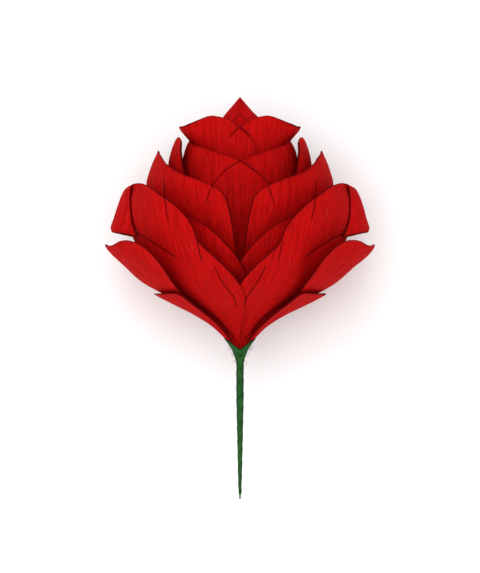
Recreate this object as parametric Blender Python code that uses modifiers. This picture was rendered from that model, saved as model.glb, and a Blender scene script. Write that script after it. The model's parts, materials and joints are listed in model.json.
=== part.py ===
"""Crepe paper rose on a short wired stem, laid down on a table. Metres, +Z up.

The rose is modelled upright, with its stem's cut end at the origin, its axis along +Z and its
front towards -Y. An empty then lays it on its back with the bloom towards +Y. The bloom outweighs
the stem, so the rose rests on the backs of its petals and the stem stands out clear of the table.
"""

import math

import bmesh
import bpy
from mathutils import Matrix, Vector

# Paper and glue
PAPER = 0.0003  # two layers of crepe
GLUE_GAP = 0.0003  # clearance between two pieces that are glued
LAP_LIFT = 0.0009  # how far a petal's leading edge stands off the petal it overlaps
LAP_TUCK = 0.0005  # how far its trailing edge is drawn in
LAP_RAMP_DEG = 26  # how gradually it lifts
LAP_MARGIN_DEG = 5
LAP_FADE = 0.12  # share of a petal's length, from its foot, over which it starts

# Stem
WIRE_RADIUS = 0.00036
WIRE_CLEARANCE = 0.0001
WIRE_IN_CORE = 0.034  # length of wire inside the rolled core
WIRE_SIDES = 12
BARE_WIRE = 0.002
STEM_LENGTH = 0.0552  # from the wire's cut end to the top of the wrap
WRAP_TOP_RADIUS = 0.00138
WRAP_LOW_RADIUS = 0.00080
WRAP_END_RADIUS = 0.00060
WRAP_LOW_HEIGHT = 0.0112
WRAP_STRAIGHT = 0.0152  # length of full thickness under the calyx
STEM_SIDES = 16

# Calyx: a green cup with two pointed lobes, as (radius, height above its seat)
CALYX_WALL = 0.00045
CALYX_OUTLINE = [(0.00145, 0.0), (0.0023, 0.0020), (0.0032, 0.0042), (0.0046, 0.0063), (0.0070, 0.0088)]
CALYX_FLOOR = 0.53  # share of the outline up to the floor that the petals' feet stand over
CALYX_NOTCH = 0.62  # share of the outline left at the bottom of each notch
LOBE_POINT = 1.5  # how narrow the lobes are towards their points
CALYX_SIDES = 24
CALYX_ROWS = 5

# Bloom: heights below are measured from its foot, which stands on the calyx's floor

# Rolled core, as (radius, height)
CORE_OUTLINE = [
    (0.0010, 0.0004), (0.0012, 0.0090), (0.0017, 0.0165), (0.0023, 0.0220), (0.0042, 0.0300),
    (0.0072, 0.0420), (0.0095, 0.0550), (0.0108, 0.0670), (0.0113, 0.0780), (0.0104, 0.0865),
    (0.0070, 0.0928), (0.0032, 0.0974), (0.0003, 0.1008),
]
CORE_LAP = 0.0006  # step where the rolled strip ends
CORE_LAP_SHARE = 0.12  # most of the core's radius that the step may take
CORE_SIDES = 20

# Petals. Each station is (radius, height, half angle in degrees, how far the margins rise, how
# far they draw in), from low down to the tip. The foot is the (height, half angle) where the
# petal is glued on, over so many petals under it. A layer holds two petals, one on the left and
# one on the right, and back_share narrows their halves at the back of the rose.
PETAL_LAYERS = {
    "low_petal": {
        "foot": (0.0004, 62),
        "petals_under": 2,
        "stations": [
            (0.0038, 0.0021, 54, 0.0, 0.0), (0.0062, 0.0047, 46, 0.0, 0.0),
            (0.0112, 0.0093, 43, 0.0001, 0.0), (0.0190, 0.0142, 42, 0.0003, 0.0),
            (0.0270, 0.0182, 43, 0.0006, 0.0), (0.0314, 0.0204, 44, 0.0008, 0.0),
            (0.0334, 0.0215, 43, 0.0006, 0.0), (0.0343, 0.0221, 41, 0.0003, 0.0),
        ],
        "columns": 6,
        "rows": 9,
    },
    "hooked_petal": {
        "foot": (0.0004, 66),
        "petals_under": 1,
        "stations": [
            (0.0033, 0.0026, 56, 0.0, 0.0), (0.0060, 0.0060, 47, 0.0, 0.0),
            (0.0110, 0.0112, 40, 0.0001, 0.0), (0.0190, 0.0164, 37, 0.0002, 0.0),
            (0.0290, 0.0213, 41, 0.0004, 0.0), (0.0385, 0.0268, 46, 0.0007, 0.0),
            (0.0460, 0.0332, 47, 0.0012, 0.0), (0.0500, 0.0370, 44, 0.0020, 0.0),
            (0.0520, 0.0394, 39, 0.0028, 0.0), (0.0529, 0.0407, 31, 0.0026, 0.0),
            (0.0533, 0.0411, 21, 0.0014, 0.0), (0.0535, 0.0415, 12, 0.0002, 0.0),
            (0.0538, 0.0421, 3, 0.0, 0.0),
        ],
        "columns": 8,
        "rows": 13,
    },
    "rolled_petal": {
        "foot": (0.0004, 84),
        "petals_under": 0,
        "stations": [
            (0.0028, 0.0040, 88, 0.0, 0.0), (0.0062, 0.0079, 91, 0.0, 0.0),
            (0.0115, 0.0128, 95, 0.0, 0.0), (0.0205, 0.0190, 95, 0.0, 0.0),
            (0.0298, 0.0256, 90, 0.0, 0.0), (0.0364, 0.0330, 81, 0.0, 0.0),
            (0.0412, 0.0412, 69.5, 0.0, 0.0), (0.0438, 0.0488, 66, 0.0, 0.0),
            (0.0448, 0.0556, 59, 0.0, 0.0), (0.0448, 0.0606, 48, 0.0005, 0.0),
            (0.0443, 0.0636, 36, 0.0014, 0.0), (0.0448, 0.0650, 25, 0.0016, 0.0),
            (0.0460, 0.0644, 18, 0.0010, 0.0004), (0.0476, 0.0612, 15.5, 0.0004, 0.0018),
            (0.0492, 0.0566, 16, 0.0, 0.0034), (0.0507, 0.0518, 17, -0.0008, 0.0053),
            (0.0517, 0.0486, 20, -0.0016, 0.0067), (0.0512, 0.0468, 21, -0.0022, 0.0070),
        ],
        "back_share": 0.8,
        "columns": 10,
        "rows": 20,
    },
    "inner_cup_petal": {
        "foot": (0.0052, 80),
        "petals_under": 0,
        "stations": [
            (0.0056, 0.0098, 84, 0.0, 0.0), (0.0106, 0.0158, 90, 0.0, 0.0),
            (0.0180, 0.0234, 95, 0.0, 0.0), (0.0270, 0.0316, 93, 0.0, 0.0),
            (0.0345, 0.0414, 82, 0.0, 0.0), (0.0382, 0.0504, 66, 0.0, 0.0),
            (0.0394, 0.0560, 40, 0.0, 0.0), (0.0397, 0.0578, 8, 0.0, 0.0),
        ],
        "columns": 8,
        "rows": 10,
    },
    "pointed_petal": {
        "foot": (0.0076, 80),
        "petals_under": 0,
        "stations": [
            (0.0052, 0.0126, 83, 0.0, 0.0), (0.0096, 0.0194, 86, 0.0, 0.0),
            (0.0160, 0.0272, 87.5, 0.0, 0.0), (0.0230, 0.0360, 86.5, 0.0, 0.0),
            (0.0300, 0.0460, 84.6, 0.0, 0.0), (0.0350, 0.0550, 82.6, 0.0, 0.0),
            (0.0371, 0.0620, 79, 0.0, 0.0), (0.0370, 0.0668, 67, 0.0, 0.0),
            (0.0362, 0.0702, 50, 0.0, 0.0), (0.0350, 0.0740, 33, 0.0, 0.0),
            (0.0338, 0.0775, 16, 0.0, 0.0), (0.0332, 0.0794, 4, 0.0, 0.0),
        ],
        "columns": 9,
        "rows": 14,
    },
    "spire_petal": {
        "foot": (0.0120, 62),
        "petals_under": 0,
        "stations": [
            (0.0050, 0.0175, 52, 0.0, 0.0), (0.0090, 0.0245, 44, 0.0, 0.0),
            (0.0145, 0.0340, 40, 0.0, 0.0), (0.0205, 0.0450, 38, 0.0, 0.0),
            (0.0255, 0.0560, 38, 0.0, 0.0), (0.0283, 0.0670, 39, 0.0, 0.0),
            (0.0284, 0.0740, 34, 0.0, 0.0), (0.0272, 0.0795, 28, 0.0, 0.0),
            (0.0260, 0.0830, 22, 0.0, 0.0), (0.0254, 0.0846, 15, 0.0, 0.0),
            (0.0252, 0.0851, 7, 0.0, 0.0),
        ],
        "columns": 5,
        "rows": 12,
    },
    "bud_petal": {
        "foot": (0.0170, 80),
        "petals_under": 0,
        "stations": [
            (0.0068, 0.0240, 84, 0.0, 0.0), (0.0120, 0.0330, 90, 0.0, 0.0),
            (0.0172, 0.0440, 110, 0.0, 0.0), (0.0206, 0.0550, 134, 0.0, 0.0),
            (0.0221, 0.0630, 126, 0.0, 0.0), (0.0228, 0.0695, 108, 0.0, 0.0),
            (0.0229, 0.0750, 88, 0.0, 0.0), (0.0223, 0.0788, 62, 0.0, 0.0),
            (0.0215, 0.0813, 36, 0.0, 0.0), (0.0208, 0.0832, 30, 0.0, 0.0),
            (0.0204, 0.0842, 28, 0.0, 0.0),
        ],
        "columns": 14,
        "rows": 11,
    },
    "lip_petal": {
        "foot": (0.0220, 80),
        "petals_under": 0,
        "stations": [
            (0.0050, 0.0300, 84, 0.0, 0.0), (0.0084, 0.0420, 92, 0.0, 0.0),
            (0.0118, 0.0550, 100, 0.0, 0.0), (0.0146, 0.0670, 106, 0.0, 0.0),
            (0.0168, 0.0750, 108, 0.0, 0.0), (0.0182, 0.0802, 108, 0.0, 0.0),
            (0.0194, 0.0838, 104, 0.0, 0.0), (0.0216, 0.0868, 92, 0.0, 0.0),
            (0.0234, 0.0884, 74, 0.0, 0.0), (0.0243, 0.0889, 30, 0.0, 0.0),
        ],
        "side_stations": [
            (0.0050, 0.0300), (0.0084, 0.0420), (0.0118, 0.0550), (0.0146, 0.0670),
            (0.0164, 0.0750), (0.0173, 0.0800), (0.0178, 0.0844), (0.0180, 0.0885),
            (0.0178, 0.0920), (0.0176, 0.0940),
        ],
        "columns": 14,
        "rows": 11,
    },
}
SIDE_BLEND_DEG = (18, 52)  # angles between which a lip petal turns from spread to upright
SIDES = {"left": -90, "right": 90}  # azimuth of each petal's midrib, from the front

# Colours
ROSE_RED = (0.462, 0.0052, 0.0048, 1)
STEM_GREEN = (0.022, 0.099, 0.022, 1)
WIRE_GREEN = (0.010, 0.034, 0.010, 1)


def clear_scene():
    for thing in list(bpy.data.objects):
        bpy.data.objects.remove(thing)


def material(name, colour, roughness, metallic=0.0):
    made = bpy.data.materials.new(name)
    made.use_nodes = True
    shader = made.node_tree.nodes["Principled BSDF"]
    shader.inputs["Base Color"].default_value = colour
    shader.inputs["Roughness"].default_value = roughness
    shader.inputs["Metallic"].default_value = metallic
    return made


def smoothstep(low, high, value):
    share = min(1.0, max(0.0, (value - low) / (high - low)))
    return share * share * (3 - 2 * share)


def along(stations, share):
    """A point on the smooth curve through the stations, share of the way from first to last."""
    last = len(stations) - 1
    place = min(max(share, 0.0), 1.0) * last
    start = min(int(place), last - 1)
    part = place - start
    before, first, second, after = (
        Vector(stations[min(max(start + step, 0), last)]) for step in (-1, 0, 1, 2)
    )
    rise = (second - before) * 0.5
    fall = (after - first) * 0.5
    cubic = first * (2 * part**3 - 3 * part**2 + 1) + second * (3 * part**2 - 2 * part**3)
    return cubic + rise * (part**3 - 2 * part**2 + part) + fall * (part**3 - part**2)


BLOOM_FOOT = STEM_LENGTH + GLUE_GAP + along(CALYX_OUTLINE, CALYX_FLOOR)[1]


def on_axis(radius, height, azimuth):
    """Azimuth runs from the front (-Y) towards the right (+X), in radians."""
    return Vector((radius * math.sin(azimuth), -radius * math.cos(azimuth), height))


def core_radius(height):
    """The rolled core's radius at a height above the bloom's foot."""
    for (low_radius, low), (high_radius, high) in zip(CORE_OUTLINE, CORE_OUTLINE[1:]):
        if height <= high:
            return low_radius + (high_radius - low_radius) * (height - low) / (high - low)
    return CORE_OUTLINE[-1][0]


def with_foot(layer):
    """The layer with its glued foot as first station, clear of what it is glued over."""
    height, half_angle = layer["foot"]
    pitch = PAPER + GLUE_GAP
    radius = core_radius(height) + GLUE_GAP + PAPER / 2 + pitch * layer["petals_under"]
    made = dict(layer, stations=[(radius, height, half_angle, 0.0, 0.0)] + layer["stations"])
    if "side_stations" in layer:
        made["side_stations"] = [(radius, height)] + layer["side_stations"]
    made["widest"] = max(station[2] for station in made["stations"])
    return made


def petal_point(layer, across, up, back):
    """Where a flat grid's corner goes: across runs -1 to 1, up runs 0 at the base to 1 at the tip.

    Back is the sign that across has on the petal's half at the back of the rose.
    """
    radius, height, half_angle, margin_rise, margin_draw = along(layer["stations"], up)
    angle = across * half_angle
    if across * back > 0:
        angle *= layer.get("back_share", 1)
    if "side_stations" in layer:
        side = along(layer["side_stations"], up)
        share = smoothstep(*SIDE_BLEND_DEG, abs(angle))
        radius += (side[0] - radius) * share
        height += (side[1] - height) * share
    lap_end = 180 - layer["widest"] - LAP_MARGIN_DEG
    lap_start = lap_end - LAP_RAMP_DEG
    lift = LAP_LIFT * smoothstep(lap_start, lap_end, angle)
    tuck = LAP_TUCK * smoothstep(lap_start, lap_end, -angle)
    radius += (lift - tuck) * smoothstep(0, LAP_FADE, up)
    height += margin_rise * across**2
    radius -= margin_draw * across**2
    return on_axis(radius, BLOOM_FOOT + height, math.radians(angle))


def petal(name, layer, azimuth_deg, paper, collection):
    shape = with_foot(layer)
    sheet = bmesh.new()
    bmesh.ops.create_grid(sheet, x_segments=layer["columns"], y_segments=layer["rows"], size=1)
    for corner in sheet.verts:
        corner.co = petal_point(shape, corner.co.x, (corner.co.y + 1) / 2, azimuth_deg)
    bmesh.ops.recalc_face_normals(sheet, faces=sheet.faces)
    mesh = bpy.data.meshes.new(name)
    sheet.to_mesh(mesh)
    sheet.free()
    mesh.shade_smooth()
    made = bpy.data.objects.new(name, mesh)
    made.rotation_euler.z = math.radians(azimuth_deg)
    mesh.materials.append(paper)
    wall = made.modifiers.new("paper", "SOLIDIFY")
    wall.thickness = PAPER
    wall.offset = 0
    collection.objects.link(made)
    return made


def turned(name, outline, sides, finish, collection):
    """A solid of revolution from a closed outline of (radius, height), outer side first."""
    mesh = bpy.data.meshes.new(name)
    profile = bmesh.new()
    corners = [profile.verts.new((radius, 0, height)) for radius, height in outline]
    for first, second in zip(corners, corners[1:] + corners[:1]):
        profile.edges.new((first, second))
    profile.to_mesh(mesh)
    profile.free()
    mesh.materials.append(finish)
    made = bpy.data.objects.new(name, mesh)
    screw = made.modifiers.new("turn", "SCREW")
    screw.angle = 2 * math.pi
    screw.steps = sides
    screw.render_steps = sides
    screw.use_merge_vertices = True
    screw.merge_threshold = 0.00001
    screw.use_smooth_shade = True
    collection.objects.link(made)
    return made


def stem_wire(finish, collection):
    length = BLOOM_FOOT + CORE_OUTLINE[0][1] + WIRE_IN_CORE
    bar = bmesh.new()
    bmesh.ops.create_cone(
        bar, cap_ends=True, segments=WIRE_SIDES, radius1=WIRE_RADIUS, radius2=WIRE_RADIUS, depth=length
    )
    bmesh.ops.translate(bar, verts=bar.verts, vec=(0, 0, length / 2))
    mesh = bpy.data.meshes.new("stem_wire")
    bar.to_mesh(mesh)
    bar.free()
    mesh.materials.append(finish)
    made = bpy.data.objects.new("stem_wire", mesh)
    collection.objects.link(made)
    return made


def stem_wrap(finish, collection):
    bore = WIRE_RADIUS + WIRE_CLEARANCE
    outline = [
        (WRAP_TOP_RADIUS, STEM_LENGTH),
        (WRAP_TOP_RADIUS, STEM_LENGTH - WRAP_STRAIGHT),
        (WRAP_LOW_RADIUS, WRAP_LOW_HEIGHT),
        (WRAP_END_RADIUS, BARE_WIRE),
        (bore, BARE_WIRE),
        (bore, STEM_LENGTH),
    ]
    return turned("stem_wrap", outline, STEM_SIDES, finish, collection)


def calyx(finish, collection):
    """A cup round the petals' feet. Its rim falls to a notch in front and behind."""
    seat = STEM_LENGTH + GLUE_GAP
    bore = WIRE_RADIUS + WIRE_CLEARANCE
    cup = bmesh.new()
    lines = []
    for side in range(CALYX_SIDES):
        azimuth = 2 * math.pi * side / CALYX_SIDES
        reach = CALYX_NOTCH + (1 - CALYX_NOTCH) * abs(math.sin(azimuth)) ** LOBE_POINT
        points = [(bore, 0.0)]
        points += [along(CALYX_OUTLINE, reach * row / CALYX_ROWS) for row in range(CALYX_ROWS + 1)]
        for row in range(CALYX_ROWS + 1):
            share = reach + (CALYX_FLOOR - reach) * row / CALYX_ROWS
            radius, height = along(CALYX_OUTLINE, share)
            points.append((radius - CALYX_WALL, height))
        points.append((bore, points[-1][1]))
        lines.append([cup.verts.new(on_axis(radius, seat + height, azimuth)) for radius, height in points])
    for here, after in zip(lines, lines[1:] + lines[:1]):
        for row in range(len(here)):
            above = (row + 1) % len(here)
            cup.faces.new((here[row], after[row], after[above], here[above]))
    bmesh.ops.recalc_face_normals(cup, faces=cup.faces)
    mesh = bpy.data.meshes.new("calyx")
    cup.to_mesh(mesh)
    cup.free()
    mesh.shade_smooth()
    mesh.materials.append(finish)
    made = bpy.data.objects.new("calyx", mesh)
    collection.objects.link(made)
    return made


def bud_core(paper, collection):
    """The strip rolled round the wire: a pointed form whose last turn ends in a small step."""
    bore = WIRE_RADIUS + WIRE_CLEARANCE
    foot = CORE_OUTLINE[0][1]
    socket = foot + WIRE_IN_CORE + GLUE_GAP
    core = bmesh.new()
    rings = []
    for radius, height in CORE_OUTLINE:
        ring = []
        for side in range(CORE_SIDES):
            share = side / (CORE_SIDES - 1)
            azimuth = 2 * math.pi * side / CORE_SIDES
            lap = min(CORE_LAP, radius * CORE_LAP_SHARE) * (share - 0.5)
            ring.append(core.verts.new(on_axis(radius + lap, BLOOM_FOOT + height, azimuth)))
        rings.append(ring)
    for height in (socket, foot):
        ring = []
        for side in range(CORE_SIDES):
            azimuth = 2 * math.pi * side / CORE_SIDES
            ring.append(core.verts.new(on_axis(bore, BLOOM_FOOT + height, azimuth)))
        rings.append(ring)
    outer = rings[: len(CORE_OUTLINE)]
    socket_ring, mouth = rings[len(CORE_OUTLINE) :]
    for low, high in list(zip(outer, outer[1:])) + [(socket_ring, mouth), (mouth, outer[0])]:
        for side in range(CORE_SIDES):
            after = (side + 1) % CORE_SIDES
            core.faces.new((low[side], low[after], high[after], high[side]))
    core.faces.new(outer[-1])
    core.faces.new(socket_ring)
    bmesh.ops.recalc_face_normals(core, faces=core.faces)
    mesh = bpy.data.meshes.new("bud_core")
    core.to_mesh(mesh)
    core.free()
    mesh.shade_smooth()
    mesh.materials.append(paper)
    made = bpy.data.objects.new("bud_core", mesh)
    collection.objects.link(made)
    return made


def back_outline(points):
    """The corners (height, depth) of the hull that bounds the rose's back, seen from its side."""
    hull = []
    for spot in sorted((point.z, point.y) for point in points):
        while len(hull) > 1:
            (low_z, low_y), (mid_z, mid_y) = hull[-2:]
            if (mid_z - low_z) * (spot[1] - low_y) < (mid_y - low_y) * (spot[0] - low_z):
                break
            hull.pop()
        hull.append(spot)
    return hull


def balance_height(pieces, graph):
    """The height of the rose's centre of volume, which is close to its centre of mass."""
    volume = 0
    moment = 0
    for piece in pieces:
        body = bmesh.new()
        body.from_object(piece, graph)
        for triangle in body.calc_loop_triangles():
            first, second, third = (loop.vert.co for loop in triangle)
            wedge = first.dot(second.cross(third)) / 6
            volume += wedge
            moment += wedge * (first.z + second.z + third.z) / 4
        body.free()
    return moment / volume


def lay_down(pieces, collection):
    """Parents the pieces to an empty that lays the rose on its back, as it comes to rest."""
    bpy.context.view_layer.update()
    graph = bpy.context.evaluated_depsgraph_get()
    points = []
    for piece in pieces:
        evaluated = piece.evaluated_get(graph)
        points += [evaluated.matrix_world @ corner.co for corner in evaluated.data.vertices]
    balance = balance_height(pieces, graph)
    hull = back_outline(points)
    below, above = next(
        (low, high) for low, high in zip(hull, hull[1:]) if low[0] <= balance < high[0]
    )
    tilt = math.atan2(above[1] - below[1], above[0] - below[0])
    turn = Matrix.Rotation(tilt - math.pi / 2, 4, "X")
    laid = [turn @ point for point in points]
    low = Vector(min(point[i] for point in laid) for i in range(3))
    high = Vector(max(point[i] for point in laid) for i in range(3))
    root = bpy.data.objects.new("rose", None)
    root.matrix_world = (
        Matrix.Translation((-(low.x + high.x) / 2, -(low.y + high.y) / 2, -low.z)) @ turn
    )
    collection.objects.link(root)
    for piece in pieces:
        piece.parent = root
    return root


def main():
    clear_scene()
    collection = bpy.data.collections.new("crepe_paper_rose")
    bpy.context.scene.collection.children.link(collection)
    red_crepe = material("red_crepe", ROSE_RED, 0.85)
    green_crepe = material("green_crepe", STEM_GREEN, 0.8)
    wire = material("wire", WIRE_GREEN, 0.4)
    pieces = [
        stem_wire(wire, collection),
        stem_wrap(green_crepe, collection),
        calyx(green_crepe, collection),
        bud_core(red_crepe, collection),
    ]
    for kind, layer in PETAL_LAYERS.items():
        for side, azimuth_deg in SIDES.items():
            pieces.append(petal(f"{kind}_{side}", layer, azimuth_deg, red_crepe, collection))
    lay_down(pieces, collection)


main()
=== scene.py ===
import json
import math

import bmesh
import bpy
import numpy as np
from mathutils import Matrix, Vector


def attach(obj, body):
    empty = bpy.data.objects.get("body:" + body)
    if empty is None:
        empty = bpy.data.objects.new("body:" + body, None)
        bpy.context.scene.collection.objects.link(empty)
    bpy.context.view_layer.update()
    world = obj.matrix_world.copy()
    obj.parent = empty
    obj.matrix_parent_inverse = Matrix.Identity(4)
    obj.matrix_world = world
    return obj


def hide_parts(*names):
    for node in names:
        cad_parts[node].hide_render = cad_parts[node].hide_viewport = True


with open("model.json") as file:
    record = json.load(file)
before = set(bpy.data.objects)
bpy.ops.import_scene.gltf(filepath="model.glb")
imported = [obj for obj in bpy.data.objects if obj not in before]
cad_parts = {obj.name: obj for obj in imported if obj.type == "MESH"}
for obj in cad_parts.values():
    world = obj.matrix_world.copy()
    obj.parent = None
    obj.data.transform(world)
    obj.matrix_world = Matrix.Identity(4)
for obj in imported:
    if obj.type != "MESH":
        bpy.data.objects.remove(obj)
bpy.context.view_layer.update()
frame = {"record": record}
print("stage: frame loaded")

mm = 0.001
farAway = 99.0  # mm, for what is near no edge and no crease
stemEnd = frame["record"]["mounts"][0]  # the cut end of the wire, which faces away from the bloom
roseAxis = -Vector(stemEnd["axis"]).normalized()
leanBack = math.asin(roseAxis.z) - math.pi / 2
layDown = Matrix.Translation(stemEnd["pos_m"]) @ Matrix.Rotation(leanBack, 4, "X")


# Shapes. Each piece is made standing round the rose's axis, with azimuth 0 at the front, then laid down


def smoothStep(low, high, value):
    share = np.clip((value - low) / (high - low), 0, 1)
    return share * share * (3 - 2 * share)


def alongStations(stations, shares):  # a smooth run through the stations, at shares from 0 to 1
    table = np.array(stations, float)
    last = len(table) - 1
    place = np.clip(shares, 0, 1) * last
    start = np.minimum(place.astype(int), last - 1)
    part = (place - start)[..., None]
    before, first, second, after = (table[np.clip(start + step, 0, last)] for step in (-1, 0, 1, 2))
    blend = part * part * (3 - 2 * part)
    smooth = first * (1 - blend) + second * blend
    smooth += (second - before) / 2 * part * (1 - part) ** 2
    return smooth - (after - first) / 2 * part * part * (1 - part)


def radiusAt(outline, height):  # an outline is a row of (radius, height)
    return np.interp(height, [spot[1] for spot in outline], [spot[0] for spot in outline])


creaseLook = {  # mm along a crease where it starts, and mm beside it over which it ends
    "start": -0.2,
    "beside": (1.0, 1.8),
}


def nearLine(across, up, line, taper):  # signed distance in mm, and how strongly the line shows
    nearest = np.full(across.shape, farAway)
    offset = np.full(across.shape, farAway)
    run = np.zeros(across.shape)
    length = 0
    for (startX, startZ), (endX, endZ) in zip(line, line[1:]):
        stepX, stepZ = endX - startX, endZ - startZ
        span = math.hypot(stepX, stepZ)
        alongX, alongZ = across - startX, up - startZ
        share = (alongX * stepX + alongZ * stepZ) / span**2
        held = np.clip(share, 0, 1)
        gap = np.hypot(alongX - held * stepX, alongZ - held * stepZ)
        closer = gap < nearest
        nearest = np.where(closer, gap, nearest)
        offset = np.where(closer, (alongX * stepZ - alongZ * stepX) / span, offset)
        run = np.where(closer, length + share * span, run)
        length += span
    start = creaseLook["start"]
    shown = smoothStep(start, taper, run) * smoothStep(start, taper, length - run)
    return offset, shown * (1 - smoothStep(*creaseLook["beside"], nearest))


def ringGrid(radii, heights, sides):  # rings of points, as grids of radius, height and azimuth
    radius = np.array(radii)[:, None] * np.ones(sides)
    height = np.array(heights)[:, None] * np.ones(sides)
    turn = np.linspace(0, 2 * math.pi, sides, endpoint=False)
    return radius, height, np.ones(len(radii))[:, None] * turn


def roundAxis(radius, height, azimuth):  # the points in metres
    return np.stack([radius * np.sin(azimuth), -radius * np.cos(azimuth), height], axis=-1) * mm


def gridFaces(rows, columns, wrap=False):
    faces = []
    wide = columns if wrap else columns + 1
    for row in range(rows):
        for column in range(columns):
            after = (column + 1) % wide
            here, above = row * wide, (row + 1) * wide
            faces.append((here + column, here + after, above + after, above + column))
    return faces


def sheetMesh(name, points, faces, fields):  # a field is an attribute of one or three values a point
    mesh = bpy.data.meshes.new(name)
    mesh.from_pydata(points.reshape(-1, 3).tolist(), [], faces)
    for field, values in fields.items():
        if values.ndim == 3:
            layer = mesh.attributes.new(field, "FLOAT_VECTOR", "POINT")
            layer.data.foreach_set("vector", values.reshape(-1).astype(np.float32))
        else:
            layer = mesh.attributes.new(field, "FLOAT", "POINT")
            layer.data.foreach_set("value", values.reshape(-1).astype(np.float32))
    mesh.update()
    return mesh


def mergeDoubles(mesh):  # closes the ends of a round body and points its faces outwards
    body = bmesh.new()
    body.from_mesh(mesh)
    bmesh.ops.remove_doubles(body, verts=body.verts, dist=1e-6)
    bmesh.ops.recalc_face_normals(body, faces=body.faces)
    body.to_mesh(mesh)
    body.free()


# Nodes that every tree uses


def newGroup(name, kind, inputs, outputs):
    group = bpy.data.node_groups.new(name, kind)
    for direction, sockets in (("INPUT", inputs), ("OUTPUT", outputs)):
        for label, socketType, value in sockets:
            socket = group.interface.new_socket(label, in_out=direction, socket_type=socketType)
            if value is not None:
                socket.default_value = value
    return group, group.nodes.new("NodeGroupInput"), group.nodes.new("NodeGroupOutput")


def mathNode(tree, operation, first, second=None, third=None):
    node = tree.nodes.new("ShaderNodeMath")
    node.operation = operation
    for socket, value in zip(node.inputs, (first, second, third)):
        if value is None:
            continue
        if isinstance(value, (int, float)):
            socket.default_value = value
        else:
            tree.links.new(value, socket)
    return node.outputs[0]


def noiseAt(tree, vector, detail):
    noise = tree.nodes.new("ShaderNodeTexNoise")
    noise.inputs["Scale"].default_value = 1.0
    noise.inputs["Detail"].default_value = detail
    tree.links.new(vector, noise.inputs["Vector"])
    return noise.outputs[0]


def stretchedNoise(tree, vector, acrossMm, alongMm, detail, shift=0.0):  # longer along the grain
    scale = tree.nodes.new("ShaderNodeVectorMath")
    scale.operation = "MULTIPLY_ADD"
    tree.links.new(vector, scale.inputs[0])
    scale.inputs[1].default_value = (1 / (acrossMm * mm), 1 / (alongMm * mm), 1)
    scale.inputs[2].default_value = (shift, shift * 1.7, shift)
    return noiseAt(tree, scale.outputs[0], detail)


def rampBetween(tree, value, low, high):
    node = tree.nodes.new("ShaderNodeMapRange")
    node.interpolation_type = "SMOOTHSTEP"
    tree.links.new(value, node.inputs["Value"])
    node.inputs["From Min"].default_value = low
    node.inputs["From Max"].default_value = high
    return node.outputs["Result"]


def mixColour(tree, share, first, second):
    node = tree.nodes.new("ShaderNodeMix")
    node.data_type = "RGBA"
    for socket, value in ((node.inputs[0], share), (node.inputs[6], first), (node.inputs[7], second)):
        if isinstance(value, (tuple, float)):
            socket.default_value = value
        else:
            tree.links.new(value, socket)
    return node.outputs[2]


def newMaterial(name):
    made = bpy.data.materials.new(name)
    made.use_nodes = True
    return made, made.node_tree, made.node_tree.nodes["Principled BSDF"]


# Crepe paper

grainLook = {  # each noise: mm across the grain, mm along it, detail, and its place in the noise
    "fine": (0.34, 4.0, 2.0),
    "broad": (0.85, 13.0, 1.0, 3.1),
    "fibre": (0.11, 0.5, 1.0, 7.7),
    "streak": (0.55, 7.5, 1.0, 12.3),
    "patch": (9.0, 16.0, 1.0, 5.9),
    "mottle": (14.0, 26.0, 2.0, 21.0),
    "fineShare": 0.5,
    "fibreShare": 0.1,
    "streakRamp": (0.66, 0.80),
    "patchRamp": (0.50, 0.64),
}

dyeAndShadeLook = {  # mm over which the dark of a margin or a crease fades, and how dark it is; a margin's dark is a dyed edge with painted edge shade, a crease's dark is painted shade
    "marginFade": (0.22, 0.62),
    "marginDyeAndShade": 0.85,
    "creaseFade": (0.10, 0.40),
    "creaseShade": 0.8,
    "creaseThinning": 0.22,
}

paperLooks = {
    "redCrepe": {
        "body": (0.585, 0.0052, 0.0050, 1),
        # painted shade in the grain's valleys, and the darker tone of the random mottle
        "valley": (0.430, 0.0034, 0.0034, 1),
        # the dark of a dyed edge with painted edge shade, and of painted crease shade
        "edge": (0.060, 0.0012, 0.0016, 1),
        "streak": (0.62, 0.060, 0.052, 1),
        "glow": (0.80, 0.018, 0.012, 1),
        "glowShare": 0.25,
        "shade": 0.0,
        "roughness": 0.78,
        "bump": 1.0,
        "coarse": 0.75,
        "streakShare": 0.50,
    },
    "greenCrepe": {
        "body": (0.0270, 0.112, 0.0250, 1),
        # painted shade in the grain's valleys, and the darker tone of the random mottle
        "valley": (0.0140, 0.062, 0.0140, 1),
        # painted shade on the two sides of the stem and the calyx
        "side": (0.0085, 0.034, 0.0095, 1),
        # the dark of a dyed edge with painted edge shade, and of painted crease shade
        "edge": (0.0040, 0.018, 0.0050, 1),
        "streak": (0.060, 0.170, 0.055, 1),
        "glow": (0.060, 0.22, 0.050, 1),
        "glowShare": 0.06,
        "shade": 0.75,
        "roughness": 0.72,
        "bump": 0.5,
        "coarse": 0.35,
        "streakShare": 0.35,
    },
}

crepeFinish = {  # what both papers share
    # the ramp and share of the painted shade in the grain's valleys
    "valleyShadeRamp": (0.41, 0.57),
    "valleyShadeShare": 0.8,
    "mottleShare": 0.35,
    # where the painted shade on the stem's and the calyx's sides comes in
    "sideShadeRamp": (0.52, 0.80),
    "specular": 0.03,
    "bumpMm": 0.46,
}


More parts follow.
